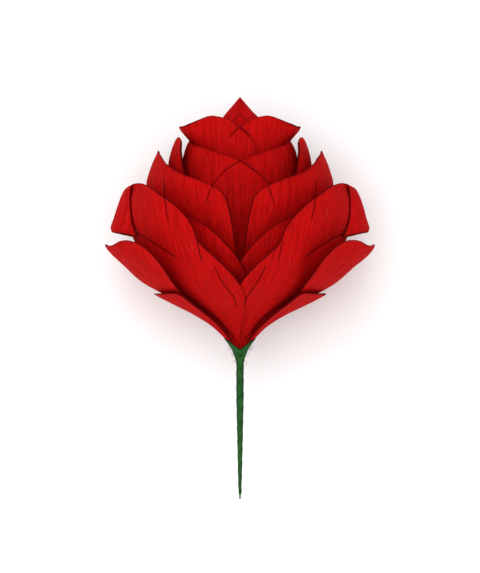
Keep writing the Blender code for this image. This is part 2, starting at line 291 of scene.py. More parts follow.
def crepeGrainGroup():  # the height of the fine wrinkles, the pale streaks and a broad mottle
    group, source, sink = newGroup(
        "crepeGrain",
        "ShaderNodeTree",
        [("Paper", "NodeSocketVector", None), ("Coarse", "NodeSocketFloat", 0.4)],
        [(label, "NodeSocketFloat", None) for label in ("Height", "Streak", "Mottle")],
    )
    coarse = source.outputs["Coarse"]

    def grain(label):
        return stretchedNoise(group, source.outputs["Paper"], *grainLook[label])

    height = mathNode(group, "MULTIPLY", grain("fine"), grainLook["fineShare"])
    height = mathNode(group, "MULTIPLY_ADD", grain("broad"), coarse, height)
    height = mathNode(group, "MULTIPLY_ADD", grain("fibre"), grainLook["fibreShare"], height)
    total = mathNode(group, "ADD", coarse, grainLook["fineShare"] + grainLook["fibreShare"])
    group.links.new(mathNode(group, "DIVIDE", height, total), sink.inputs["Height"])
    streak = rampBetween(group, grain("streak"), *grainLook["streakRamp"])
    patch = rampBetween(group, grain("patch"), *grainLook["patchRamp"])
    group.links.new(mathNode(group, "MULTIPLY", streak, patch), sink.inputs["Streak"])
    group.links.new(grain("mottle"), sink.inputs["Mottle"])
    return group


def dyeAndShadeLinesGroup():  # dark along a margin, and along a crease given as (signed distance, strength): a dyed edge with painted edge shade, and painted crease shade
    group, source, sink = newGroup(
        "dyeAndShadeLines",
        "ShaderNodeTree",
        [("Margin", "NodeSocketFloat", farAway), ("Crease", "NodeSocketVector", None)],
        [("Dark", "NodeSocketFloat", None)],
    )

    def darkWithin(distance, fade, dark):
        return mathNode(group, "MULTIPLY_ADD", rampBetween(group, distance, *fade), -dark, dark)

    margin = darkWithin(source.outputs["Margin"], dyeAndShadeLook["marginFade"], dyeAndShadeLook["marginDyeAndShade"])
    parts = group.nodes.new("ShaderNodeSeparateXYZ")
    group.links.new(source.outputs["Crease"], parts.inputs[0])
    shown = parts.outputs["Y"]
    thinning = dyeAndShadeLook["creaseThinning"]
    thinned = mathNode(group, "MULTIPLY_ADD", shown, -thinning, thinning)
    offLine = mathNode(group, "ADD", mathNode(group, "ABSOLUTE", parts.outputs["X"]), thinned)
    crease = darkWithin(offLine, dyeAndShadeLook["creaseFade"], dyeAndShadeLook["creaseShade"])
    crease = mathNode(group, "MULTIPLY", crease, shown)
    group.links.new(mathNode(group, "MAXIMUM", margin, crease), sink.inputs["Dark"])
    return group


crepeGrain = crepeGrainGroup()
dyeAndShadeLines = dyeAndShadeLinesGroup()


def crepeMaterial(name, look):
    made, tree, shader = newMaterial(name)
    out = tree.nodes["Material Output"]

    def field(label, output):
        node = tree.nodes.new("ShaderNodeAttribute")
        node.attribute_name = label
        return node.outputs[output]

    grain = tree.nodes.new("ShaderNodeGroup")
    grain.node_tree = crepeGrain
    grain.inputs["Coarse"].default_value = look["coarse"]
    tree.links.new(field("paper", "Vector"), grain.inputs["Paper"])
    height = grain.outputs["Height"]
    # painted shade: the grain's valleys are coloured toward the darker valley colour, and the random mottle
    # moves toward the same colour
    raised = rampBetween(tree, height, *crepeFinish["valleyShadeRamp"])
    valley = mathNode(tree, "MULTIPLY", mathNode(tree, "SUBTRACT", 1.0, raised), crepeFinish["valleyShadeShare"])
    tone = mathNode(tree, "MULTIPLY_ADD", grain.outputs["Mottle"], crepeFinish["mottleShare"], valley)
    colour = mixColour(tree, tone, look["body"], look["valley"])
    streak = mathNode(tree, "MULTIPLY", grain.outputs["Streak"], look["streakShare"])
    colour = mixColour(tree, streak, colour, look["streak"])
    dyeAndShade = tree.nodes.new("ShaderNodeGroup")
    dyeAndShade.node_tree = dyeAndShadeLines
    tree.links.new(field("margin", "Fac"), dyeAndShade.inputs["Margin"])
    tree.links.new(field("crease", "Vector"), dyeAndShade.inputs["Crease"])
    dark = dyeAndShade.outputs["Dark"]
    # a margin takes a dyed edge with painted edge shade, a crease takes painted shade
    colour = mixColour(tree, dark, colour, look["edge"])
    if look["shade"]:  # painted shade: the stem and the calyx are coloured darker at their two sides, where a round body turns away from the light
        atSides = rampBetween(tree, field("sides", "Fac"), *crepeFinish["sideShadeRamp"])
        colour = mixColour(tree, mathNode(tree, "MULTIPLY", atSides, look["shade"]), colour, look["side"])
    tree.links.new(colour, shader.inputs["Base Color"])
    shader.inputs["Roughness"].default_value = look["roughness"]
    shader.inputs["Specular IOR Level"].default_value = crepeFinish["specular"]
    bump = tree.nodes.new("ShaderNodeBump")
    bump.inputs["Strength"].default_value = look["bump"]
    bump.inputs["Distance"].default_value = crepeFinish["bumpMm"] * mm
    tree.links.new(height, bump.inputs["Height"])
    tree.links.new(bump.outputs["Normal"], shader.inputs["Normal"])
    glow = tree.nodes.new("ShaderNodeBsdfTranslucent")  # light that comes through the thin paper
    # the light through the paper is darkened the same way at margins and creases
    tree.links.new(mixColour(tree, dark, look["glow"], look["edge"]), glow.inputs["Color"])
    tree.links.new(bump.outputs["Normal"], glow.inputs["Normal"])
    mix = tree.nodes.new("ShaderNodeMixShader")
    mix.inputs[0].default_value = look["glowShare"]
    tree.links.new(shader.outputs[0], mix.inputs[1])
    tree.links.new(glow.outputs[0], mix.inputs[2])
    tree.links.new(mix.outputs[0], out.inputs["Surface"])
    return made


redCrepe = crepeMaterial("redCrepe", paperLooks["redCrepe"])
greenCrepe = crepeMaterial("greenCrepe", paperLooks["greenCrepe"])
print("stage: paper materials made")


# Geometry node trees


def newTree(name, sizes, seedType, seed):
    group, source, sink = newGroup(
        name,
        "GeometryNodeTree",
        [("Geometry", "NodeSocketGeometry", None)]
        + [(label, "NodeSocketFloat", value) for label, value in sizes.items()]
        + [("Seed", seedType, seed), ("Material", "NodeSocketMaterial", None)],
        [("Geometry", "NodeSocketGeometry", None)],
    )
    group.is_modifier = True
    return group, source, sink


def namedField(group, label, dataType="FLOAT"):
    node = group.nodes.new("GeometryNodeInputNamedAttribute")
    node.data_type = dataType
    node.inputs["Name"].default_value = label
    return node.outputs["Attribute"]


def signedNoise(group, spots, detail):  # from -1 to 1
    place = group.nodes.new("ShaderNodeCombineXYZ")
    for spot, socket in zip(spots, place.inputs):
        group.links.new(spot, socket)
    return mathNode(group, "MULTIPLY_ADD", noiseAt(group, place.outputs[0], detail), 2.0, -1.0)


def moveOutwards(group, geometry, distance):
    normal = group.nodes.new("GeometryNodeInputNormal")
    offset = group.nodes.new("ShaderNodeVectorMath")
    offset.operation = "SCALE"
    group.links.new(normal.outputs["Normal"], offset.inputs[0])
    group.links.new(distance, offset.inputs["Scale"])
    move = group.nodes.new("GeometryNodeSetPosition")
    group.links.new(geometry, move.inputs["Geometry"])
    group.links.new(offset.outputs[0], move.inputs["Offset"])
    return move.outputs[0]


def endTree(group, source, sink, geometry):
    real = group.nodes.new("GeometryNodeRealizeInstances")
    group.links.new(geometry, real.inputs[0])
    paint = group.nodes.new("GeometryNodeSetMaterial")
    group.links.new(real.outputs[0], paint.inputs["Geometry"])
    group.links.new(source.outputs["Material"], paint.inputs["Material"])
    group.links.new(paint.outputs[0], sink.inputs["Geometry"])
    return group


def inMetres(sizes):
    return {label: value * mm for label, value in sizes.items()}


sheetSizes = {  # mm, for a sheet whose piece says nothing else
    "Flute Width": 1.6,
    "Flute Length": 16,
    "Flute Depth": 0.10,
    "Gather Depth": 0.10,
    "Ruffle Width": 7,
    "Ruffle Depth": 0.5,
    "Dent Size": 14,
    "Dent Depth": 0.4,
}

sheetWaves = {"ruffleStretch": 3.0, "dentStretch": 1.5, "places": (0.0, 11.0, 23.0)}


def crepeSheetTree():  # flutes, a ruffled margin and small dents on a sheet with its own fields
    group, source, sink = newTree("crepeSheet", inMetres(sheetSizes), "NodeSocketFloat", 0.0)
    size = source.outputs
    split = group.nodes.new("ShaderNodeSeparateXYZ")
    group.links.new(namedField(group, "paper", "FLOAT_VECTOR"), split.inputs[0])

    def wave(width, length, shift, detail):
        across = mathNode(group, "DIVIDE", split.outputs["X"], width)
        along = mathNode(group, "DIVIDE", split.outputs["Y"], length)
        return signedNoise(group, (across, along, mathNode(group, "ADD", size["Seed"], shift)), detail)

    ruffleLength = mathNode(group, "MULTIPLY", size["Ruffle Width"], sheetWaves["ruffleStretch"])
    dentLength = mathNode(group, "MULTIPLY", size["Dent Size"], sheetWaves["dentStretch"])
    fluteAt, ruffleAt, dentAt = sheetWaves["places"]
    flute = wave(size["Flute Width"], size["Flute Length"], fluteAt, 1.0)
    ruffle = wave(size["Ruffle Width"], ruffleLength, ruffleAt, 0.0)
    dent = wave(size["Dent Size"], dentLength, dentAt, 0.0)
    gathered = mathNode(group, "MULTIPLY", namedField(group, "gather"), size["Gather Depth"])
    fluteDepth = mathNode(group, "ADD", size["Flute Depth"], gathered)
    total = mathNode(group, "MULTIPLY", flute, fluteDepth)
    ruffleDepth = mathNode(group, "MULTIPLY", namedField(group, "ruffle"), size["Ruffle Depth"])
    total = mathNode(group, "MULTIPLY_ADD", ruffle, ruffleDepth, total)
    dentDepth = mathNode(group, "MULTIPLY", namedField(group, "open"), size["Dent Depth"])
    total = mathNode(group, "MULTIPLY_ADD", dent, dentDepth, total)
    return endTree(group, source, sink, moveOutwards(group, size["Geometry"], total))


crepeSheet = crepeSheetTree()

tableLook = {"room": 0.6, "sharpAngle": 50}  # mm above the table, and degrees that still look smooth


def restOnTable(mesh):  # what would dip below the table is pressed flat just above it
    spots = np.empty(len(mesh.vertices) * 3, np.float32)
    mesh.vertices.foreach_get("co", spots)
    heights = spots[2::3]
    near = tableLook["room"] * mm
    pressed = near * np.exp(np.minimum(heights - near, 0) / near)
    spots[2::3] = np.where(heights < near, pressed, heights)
    mesh.vertices.foreach_set("co", spots)
    mesh.update()


def layPiece(name, mesh, nodeName, sharpAngle):  # lays a finished mesh where the rose rests
    mesh.transform(layDown)
    restOnTable(mesh)
    mesh.name = name
    mesh.shade_smooth()
    mesh.set_sharp_from_angle(angle=math.radians(sharpAngle))
    piece = bpy.data.objects.new(name, mesh)
    bpy.context.scene.collection.objects.link(piece)
    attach(piece, "root")
    if nodeName:
        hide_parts(nodeName)


def finishPiece(name, mesh, tree, inputs, nodeName, thickness=0.0):
    rough = bpy.data.objects.new(name + "Rough", mesh)
    bpy.context.scene.collection.objects.link(rough)
    surface = rough.modifiers.new("surface", "NODES")
    surface.node_group = tree
    sockets = {item.name: item.identifier for item in tree.interface.items_tree if item.in_out == "INPUT"}
    for label, value in inputs.items():
        surface[sockets[label]] = value
    if thickness:
        wall = rough.modifiers.new("paper", "SOLIDIFY")
        wall.thickness = thickness * mm
        wall.offset = 0
    graph = bpy.context.evaluated_depsgraph_get()
    made = bpy.data.meshes.new_from_object(rough.evaluated_get(graph), depsgraph=graph)
    bpy.data.objects.remove(rough)
    layPiece(name, made, nodeName, tableLook["sharpAngle"])


# Petals. A station is (radius, height above the bloom's foot, half angle in degrees), and then how far
# the petal's two sides rise and are drawn in, where they do. A foot is (height, half angle).

bloomFoot = 59.95
paperThickness = 0.30
glueGap = 0.30
lapLook = {"lift": 0.9, "tuck": 0.5, "ramp": 26, "margin": 5, "fullFrom": 0.12}  # mm, degrees, share up
coreOutline = [
    (1.0, 0.4), (1.2, 9.0), (1.7, 16.5), (2.3, 22.0), (4.2, 30.0), (7.2, 42.0), (9.5, 55.0),
    (10.8, 67.0), (11.3, 78.0), (10.4, 86.5), (7.0, 92.8), (3.2, 97.4), (0.3, 100.8),
]

# A crease is a row of (distance from the rose's middle, height from the stem's end). The dark of the
# margin, a dyed edge with painted edge shade, starts between the two shares up the petal that each petal
# lists for it. A side station is (radius, height).
petalLooks = {
    "low_petal": {
        "foot": (0.4, 62), "petalsUnder": 2, "rows": 76, "columns": 60,
        "stations": [
            (3.8, 2.1, 54), (6.2, 4.7, 46), (11.2, 9.3, 43, 0.1), (19.0, 14.2, 42, 0.3),
            (27.0, 18.2, 43, 0.6), (31.4, 20.4, 44, 0.8), (33.4, 21.5, 43, 0.6), (34.3, 22.1, 41, 0.3),
        ],
        "creases": [], "dyedAndShadedFrom": (0.1, 0.2), "ruffle": 0.25, "dent": 0.25, "curl": 0.2,
    },
    "hooked_petal": {
        "foot": (0.4, 66), "petalsUnder": 1, "rows": 112, "columns": 86,
        "stations": [
            (3.3, 2.6, 56), (6.0, 6.0, 47), (11.0, 11.2, 40, 0.1), (19.0, 16.4, 37, 0.2),
            (29.0, 21.3, 41, 0.4), (38.5, 26.8, 46, 0.7), (46.0, 33.2, 47, 1.2), (49.9, 36.5, 44, 2.8),
            (51.7, 38.3, 38, 4.2), (52.7, 39.5, 30, 3.7), (53.3, 40.4, 19, 1.0), (53.6, 41.2, 10, 0.3),
            (53.7, 41.9, 3),
        ],
        "creases": [], "dyedAndShadedFrom": (0.1, 0.18), "ruffle": 0.45, "dent": 0.5, "curl": 0.4,
    },
    "rolled_petal": {
        "foot": (0.05, 84), "petalsUnder": 0, "backShare": 0.8, "rows": 160, "columns": 112,
        "stations": [
            (2.8, 4.0, 88), (6.2, 7.9, 91), (11.5, 12.8, 95), (20.5, 19.0, 95), (29.8, 25.6, 90),
            (36.4, 33.0, 81), (41.2, 41.2, 69.2), (43.8, 48.8, 65.3), (44.8, 55.6, 57.8),
            (44.8, 60.2, 47, 0.5), (44.3, 63.1, 36, 1.4), (44.8, 64.4, 26, 1.6),
            (46.0, 63.8, 19, 1.0, 0.6), (47.6, 60.9, 16, 0.4, 2.3), (49.2, 56.6, 16, 0.0, 3.9),
            (50.7, 51.8, 17, -0.8, 5.8), (51.7, 48.6, 20, -1.6, 7.3), (51.2, 46.8, 21, -2.2, 7.6),
        ],
        "creases": [
            [(43.4, 108.6), (41.6, 106.4), (35.5, 103.3), (29.4, 99.3), (24.4, 96.0)],
            [(30.0, 122.4), (29.2, 116.0), (27.9, 110.2)],
            [(16.9, 104.2), (15.0, 94.4)],
            [(10.4, 93.8), (8.0, 88.4), (5.3, 84.6), (2.6, 81.1), (1.1, 76.4)],
        ],
        "dyedAndShadedFrom": (0.2, 0.32), "ruffle": 0.4, "dent": 0.5, "curl": 0.5, "uncurled": (0.55, 0.66),
    },
    "inner_cup_petal": {
        "foot": (5.2, 80), "petalsUnder": 0, "rows": 104, "columns": 94,
        "stations": [
            (5.6, 9.8, 84), (10.6, 15.8, 90), (18.0, 23.4, 95), (27.0, 31.6, 93), (34.5, 41.4, 82),
            (38.2, 50.4, 66), (39.4, 56.0, 40), (39.7, 57.8, 8),
        ],
        "creases": [], "dyedAndShadedFrom": (0.42, 0.54), "ruffle": 0.35, "dent": 0.4, "curl": 0.4,
    },
    "pointed_petal": {
        "foot": (7.6, 80), "petalsUnder": 0, "rows": 128, "columns": 104,
        "stations": [
            (5.2, 12.6, 83), (9.6, 19.4, 86), (16.0, 27.2, 87.5), (23.0, 36.0, 86.9),
            (30.0, 46.0, 85.5), (35.0, 55.0, 83.4), (37.1, 62.0, 79.5), (37.0, 66.8, 64.8),
            (36.2, 70.2, 47.5), (35.0, 74.0, 34), (33.6, 77.2, 22.5), (32.8, 79.2, 9),
        ],
        "creases": [
            [(30.3, 127.8), (30.0, 121.6), (29.4, 116.3)],
            [(10.5, 125.6), (12.5, 120.9), (13.7, 117.0)],
        ],
        "dyedAndShadedFrom": (0.3, 0.4), "ruffle": 0.35, "dent": 0.4, "curl": 0.5,
    },
    "spire_petal": {
        "foot": (12.0, 62), "petalsUnder": 0, "rows": 110, "columns": 50,
        "stations": [
            (5.0, 17.5, 52), (9.0, 24.5, 44), (14.5, 34.0, 40), (20.5, 45.0, 38), (25.5, 56.0, 38),
            (28.3, 67.0, 41), (28.4, 74.0, 37), (27.2, 79.5, 31), (26.0, 82.8, 27), (25.3, 84.0, 21),
            (24.9, 84.5, 15),
        ],
        "creases": [], "dyedAndShadedFrom": (0.1, 0.2), "ruffle": 0.1, "dent": 0.25, "curl": 0.2,
    },
    "bud_petal": {
        "foot": (17.0, 80), "petalsUnder": 0, "rows": 112, "columns": 128,
        "stations": [
            (6.8, 24.0, 84), (12.0, 33.0, 90), (17.2, 44.0, 110), (20.6, 55.0, 134), (22.1, 63.0, 126),
            (22.8, 69.5, 108), (22.9, 75.0, 88), (22.2, 78.8, 62), (21.3, 81.2, 37), (20.6, 82.5, 21),
            (20.0, 83.3, 7),
        ],
        "creases": [[(-1.6, 135.6), (5.0, 131.6), (8.9, 127.8), (11.6, 124.0), (14.0, 118.4)]],
        "oneSided": True, "dyedAndShadedFrom": (0.33, 0.41), "ruffle": 0.3, "dent": 0.3, "curl": 0.35,
    },
    "lip_petal": {
        "foot": (22.0, 80), "petalsUnder": 0, "rows": 104, "columns": 128,
        "stations": [
            (5.0, 30.0, 84), (8.4, 42.0, 92), (11.8, 55.0, 100), (14.6, 67.0, 106), (16.8, 75.0, 108),
            (18.4, 80.2, 108), (20.1, 83.4, 104), (22.1, 85.7, 92), (23.7, 87.6, 74), (24.3, 88.9, 30),
        ],
        "sideStations": [
            (5.0, 30.0), (8.4, 42.0), (11.8, 55.0), (14.6, 67.0), (16.4, 75.0), (17.3, 80.0),
            (17.8, 83.7), (18.0, 87.2), (17.8, 91.6), (17.6, 94.0),
        ],
        "sideBlend": (21, 54),
        "creases": [[(-1.3, 149.4), (2.0, 146.6), (4.6, 143.6)]],
        "oneSided": True, "dyedAndShadedFrom": (0.62, 0.7), "ruffle": 0.35, "dent": 0.2, "curl": 0.2,
    },
}

petalSheet = {  # what every petal shares: shares are of the way up it, the rest is mm
    "freeShares": (0.12, 0.35),
    "openShares": (0.15, 0.5),
    "gatheredTo": 0.45,
    "curlWidths": (4, 12),
    "curlReach": 5,
    "ruffleReach": 7,
    "dentReach": 6,
    "creaseDepth": 0.22,
    "creaseWidth": 0.8,
    "creaseTaper": 1.6,
    "grainRadius": 0.62,  # of the petal's own greatest radius
    "sizes": {
        "Flute Width": 2.0,
        "Flute Length": 22,
        "Flute Depth": 0.26,
        "Gather Depth": 0.14,
        "Ruffle Width": 6.5,
        "Dent Size": 13,
    },
}


def petalStations(look):
    footHeight, footAngle = look["foot"]
    footRadius = radiusAt(coreOutline, footHeight) + glueGap + paperThickness / 2
    footRadius += look["petalsUnder"] * (paperThickness + glueGap)
    foot = (footRadius, footHeight, footAngle)
    return [(*station, 0, 0)[:5] for station in [foot] + look["stations"]]


def petalForm(look, stations, side, up, across):  # side is the azimuth of the petal's middle
    shape = alongStations(stations, up)
    radius, height, halfAngle, marginRise, marginDraw = (shape[..., index] for index in range(5))
    angle = across * halfAngle * np.where(across * side > 0, look.get("backShare", 1), 1)
    if "sideStations" in look:
        sideShape = alongStations([stations[0][:2]] + look["sideStations"], up)
        share = smoothStep(*look["sideBlend"], abs(angle))
        radius = radius + (sideShape[..., 0] - radius) * share
        height = height + (sideShape[..., 1] - height) * share
    lapEnd = 180 - max(station[2] for station in stations) - lapLook["margin"]
    lapStart = lapEnd - lapLook["ramp"]
    lift = lapLook["lift"] * smoothStep(lapStart, lapEnd, angle)
    tuck = lapLook["tuck"] * smoothStep(lapStart, lapEnd, -angle)
    radius = radius + (lift - tuck) * smoothStep(0, lapLook["fullFrom"], up)
    height = height + marginRise * across**2
    radius = radius - marginDraw * across**2
    return radius, height, halfAngle, angle


def petalReach(stations, radius, halfAngle, up, across):  # mm climbed, to the side and to the margin
    profile = alongStations(stations, up[:, 0])[:, :2]
    climbed = np.concatenate([[0], np.cumsum(np.hypot(*np.diff(profile, axis=0).T))])
    climbed = climbed[:, None] * np.ones(up.shape[1])
    toSide = (1 - abs(across)) * np.radians(halfAngle) * radius
    return climbed, toSide, np.minimum(climbed[-1] - climbed, toSide)


def petalCreases(look, side, x, z):  # the strongest of the petal's creases at each point
    creaseGap = np.full(x.shape, farAway)
    creaseShown = np.zeros(x.shape)
    reach = x * np.sign(side) if look.get("oneSided") else abs(x)
    for line in look["creases"]:
        gap, shown = nearLine(reach, z, line, petalSheet["creaseTaper"])
        creaseGap = np.where(shown > creaseShown, gap, creaseGap)
        creaseShown = np.maximum(shown, creaseShown)
    return creaseGap, creaseShown


def petalPiece(kind, look, side, seed):
    stations = petalStations(look)
    rows, columns = look["rows"], look["columns"]
    up = np.linspace(0, 1, rows + 1)[:, None] * np.ones(columns + 1)
    across = np.ones(rows + 1)[:, None] * np.linspace(-1, 1, columns + 1)
    radius, height, halfAngle, angle = petalForm(look, stations, side, up, across)
    climbed, toSide, margin = petalReach(stations, radius, halfAngle, up, across)
    halfWidth = np.radians(halfAngle) * radius
    free = smoothStep(*petalSheet["freeShares"], up)
    curled = free * smoothStep(*petalSheet["curlWidths"], halfWidth)
    if "uncurled" in look:
        curled = curled * (1 - smoothStep(*look["uncurled"], up))
    radius = radius + look["curl"] * (1 - smoothStep(0, petalSheet["curlReach"], toSide)) ** 2 * curled
    azimuth = np.radians(angle + side)
    x, y, z = radius * np.sin(azimuth), -radius * np.cos(azimuth), bloomFoot + height
    creaseGap, creaseShown = petalCreases(look, side, x, z)
    valley = np.exp(-((creaseGap / petalSheet["creaseWidth"]) ** 2))
    inward = 1 - petalSheet["creaseDepth"] * creaseShown * valley / np.maximum(radius, 1)
    grainAcross = np.radians(angle) * (max(station[0] for station in stations) * petalSheet["grainRadius"])
    ruffled, dented = petalSheet["ruffleReach"], petalSheet["dentReach"]
    fields = {
        "paper": np.stack([grainAcross * mm, climbed * mm, 0 * x + seed], axis=-1),
        # the margin's dark, a dyed edge with painted edge shade, is lifted away low on the petal
        "margin": margin + 1 - smoothStep(*look["dyedAndShadedFrom"], up),
        "crease": np.stack([creaseGap, creaseShown, 0 * x], axis=-1),
        "ruffle": (1 - smoothStep(0, ruffled, margin)) ** 2 * free * smoothStep(0, ruffled, halfWidth),
        "open": smoothStep(*petalSheet["openShares"], up) * smoothStep(0, dented, margin),
        "gather": 1 - smoothStep(0, petalSheet["gatheredTo"], up),
    }
    name = kind.replace("_petal", "") + "Petal" + ("Left" if side < 0 else "Right")
    points = np.stack([x * inward, y * inward, z], axis=-1) * mm
    mesh = sheetMesh(name, points, gridFaces(rows, columns), fields)
    inputs = inMetres({**petalSheet["sizes"], "Ruffle Depth": look["ruffle"], "Dent Depth": look["dent"]})
    inputs.update({"Seed": float(seed), "Material": redCrepe})
    nodeName = kind + ("_left" if side < 0 else "_right")
    finishPiece(name, mesh, crepeSheet, inputs, nodeName, paperThickness)


for order, (kind, look) in enumerate(petalLooks.items()):
    for side in (-90, 90):
        petalPiece(kind, look, side, seed=order * 2 + (side > 0))
print("stage: petals made")


# Rolled core: a plain cone, and the last turns of its strip as three lapped folds

coreLook = {
    "sides": 96,
    "rows": 120,
    "foldRows": 60,
    "foldColumns": 104,
    "folds": [  # azimuth from the front, top height, half width in degrees, distance off the cone
        (0, 94.0, 150, 0.0),
        (128, 96.0, 140, 0.17),
        (-118, 91.5, 140, 0.34),
    ],
    "leastRadius": 0.05,
    "footRadius": 0.5,
    "tip": (0.02, 0.1),
    "foldFoot": 62.0,
    "foldSlope": 0.155,  # mm down for each degree from the fold's middle
    "slopeEase": 0.28,
    "foldFlare": 0.5,
    "flareFrom": 0.9,
    "foldRoom": 0.3,
    "roomHeights": (50, 62),
    # the dark of a fold's top edge, a dyed edge with painted edge shade, shows only near the fold's middle
    "dyedAndShadedTip": (0.10, 0.17),
    "ruffle": 0.5,
    "ruffleReach": 4,
    "grainRadius": 9,
    "grainPlace": 40,
    "thickness": 0.12,
    "seed": 31.0,
    "sizes": {
        "Flute Width": 1.3,
        "Flute Length": 16,
        "Flute Depth": 0.08,
        "Gather Depth": 0.0,
        "Ruffle Width": 4,
        "Ruffle Depth": 0.35,
        "Dent Depth": 0.0,
    },
}


def coreCone():
    outline = alongStations(coreOutline, np.linspace(0, 1, coreLook["rows"] + 1))
    outline[:, 0] -= coreLook["foldRoom"] * smoothStep(*coreLook["roomHeights"], outline[:, 1])
    outline = np.maximum(outline, coreLook["leastRadius"])
    tipRadius, tipRise = coreLook["tip"]  # the foot and the tip each have a ring more
    radii = np.concatenate([[coreLook["footRadius"]], outline[:, 0], [tipRadius]])
    heights = np.concatenate([[outline[0, 1]], outline[:, 1], [outline[-1, 1] + tipRise]])
    radius, height, azimuth = ringGrid(radii, heights, coreLook["sides"])
    faces = gridFaces(len(radii) - 1, coreLook["sides"], wrap=True)
    return radius, height, azimuth, faces, np.full(radius.shape, farAway)


def coreFold(centre, top, halfWidth, off):
    rows, columns, foot = coreLook["foldRows"], coreLook["foldColumns"], coreLook["foldFoot"]
    across = np.ones(rows + 1)[:, None] * np.linspace(-1, 1, columns + 1)
    rise = np.linspace(0, 1, rows + 1)[:, None]
    drop = coreLook["foldSlope"] * np.abs(across * halfWidth) * (1 - coreLook["slopeEase"] * np.abs(across))
    height = foot + (top - drop - foot) * rise
    flare = coreLook["foldFlare"] * smoothStep(coreLook["flareFrom"], 1.0, rise)
    radius = radiusAt(coreOutline, height) + off + flare
    toTop = (top - drop - foot) * (1 - rise)
    toSide = (1 - np.abs(across)) * np.radians(halfWidth) * radius
    azimuth = np.radians(across * halfWidth + centre)
    margin = np.minimum(toTop, toSide) + smoothStep(*coreLook["dyedAndShadedTip"], np.abs(across))
    return radius, height, azimuth, gridFaces(rows, columns), margin


def corePiece():
    points, faces, paper, margins = [], [], [], []
    count = 0
    for part in [coreCone()] + [coreFold(*fold) for fold in coreLook["folds"]]:
        radius, height, azimuth, partFaces, margin = part
        points.append(roundAxis(radius, bloomFoot + height, azimuth).reshape(-1, 3))
        faces.extend(tuple(corner + count for corner in face) for face in partFaces)
        place = 0 * radius + coreLook["grainPlace"] + count * 0.001  # a little apart for each part
        grain = np.stack([azimuth * coreLook["grainRadius"] * mm, height * mm, place], axis=-1)
        paper.append(grain.reshape(-1, 3))
        margins.append(margin.reshape(-1))
        count += radius.size
    margin = np.concatenate(margins)
    fields = {
        "paper": np.concatenate(paper)[None],
        "margin": margin,
        "crease": np.zeros((1, count, 3)),
        "ruffle": (1 - smoothStep(0, coreLook["ruffleReach"], margin)) ** 2 * coreLook["ruffle"],
        "open": np.zeros(count),
        "gather": np.zeros(count),
    }
    mesh = sheetMesh("budCore", np.concatenate(points), faces, fields)
    inputs = {**inMetres(coreLook["sizes"]), "Seed": coreLook["seed"], "Material": redCrepe}
    finishPiece("budCore", mesh, crepeSheet, inputs, "bud_core", coreLook["thickness"])


corePiece()
print("stage: core made")


# Stem: the wound strip, the calyx, frayed fibres and the wire

stemLook = {
    "length": 55.2,
    "bareWire": 2.0,
    "bore": 0.46,
    "outline": [(0.60, 2.0), (0.85, 11.2), (1.48, 40.0), (1.50, 55.2)],
    "strip": {"Pitch": 5.5, "Step": 0.16, "Wrinkle Depth": 0.05},
    "grainSlant": (0.6, 1.2, 0.3),
    "wrinkles": (1.4, 2.0, 4.0),
    "grainPlace": 60,
    "sides": 48,
    "rows": 330,
    "seed": 3.0,
}


def woundStripTree():  # turns a plain sleeve into a strip wound down it, each turn lapping the last
    group, source, sink = newTree("woundStrip", inMetres(stemLook["strip"]), "NodeSocketFloat", 0.0)
    place = group.nodes.new("GeometryNodeInputPosition")
    split = group.nodes.new("ShaderNodeSeparateXYZ")
    group.links.new(place.outputs[0], split.inputs[0])
    turn = mathNode(group, "ARCTAN2", split.outputs["X"], split.outputs["Y"])
    climb = mathNode(group, "DIVIDE", split.outputs["Z"], source.outputs["Pitch"])
    phase = mathNode(group, "FRACT", mathNode(group, "MULTIPLY_ADD", turn, 1 / (2 * math.pi), climb))
    # the distance to the strip's edge, along which the dark of a dyed edge with painted edge shade runs
    store = group.nodes.new("GeometryNodeStoreNamedAttribute")
    store.data_type = "FLOAT"
    store.inputs["Name"].default_value = "margin"
    toEdge = mathNode(group, "SUBTRACT", 1.0, phase)
    group.links.new(mathNode(group, "MULTIPLY", toEdge, stemLook["strip"]["Pitch"]), store.inputs["Value"])
    group.links.new(source.outputs["Geometry"], store.inputs["Geometry"])
    around, slant, along = stemLook["wrinkles"]
    slanted = mathNode(group, "MULTIPLY_ADD", turn, around, mathNode(group, "MULTIPLY", climb, slant))
    spots = (slanted, mathNode(group, "MULTIPLY", climb, along), source.outputs["Seed"])
    wrinkle = signedNoise(group, spots, 2.0)
    step = mathNode(group, "MULTIPLY", mathNode(group, "SUBTRACT", phase, 0.5), source.outputs["Step"])
    total = mathNode(group, "MULTIPLY_ADD", wrinkle, source.outputs["Wrinkle Depth"], step)
    total = mathNode(group, "MULTIPLY", total, namedField(group, "open"))
    return endTree(group, source, sink, moveOutwards(group, store.outputs[0], total))


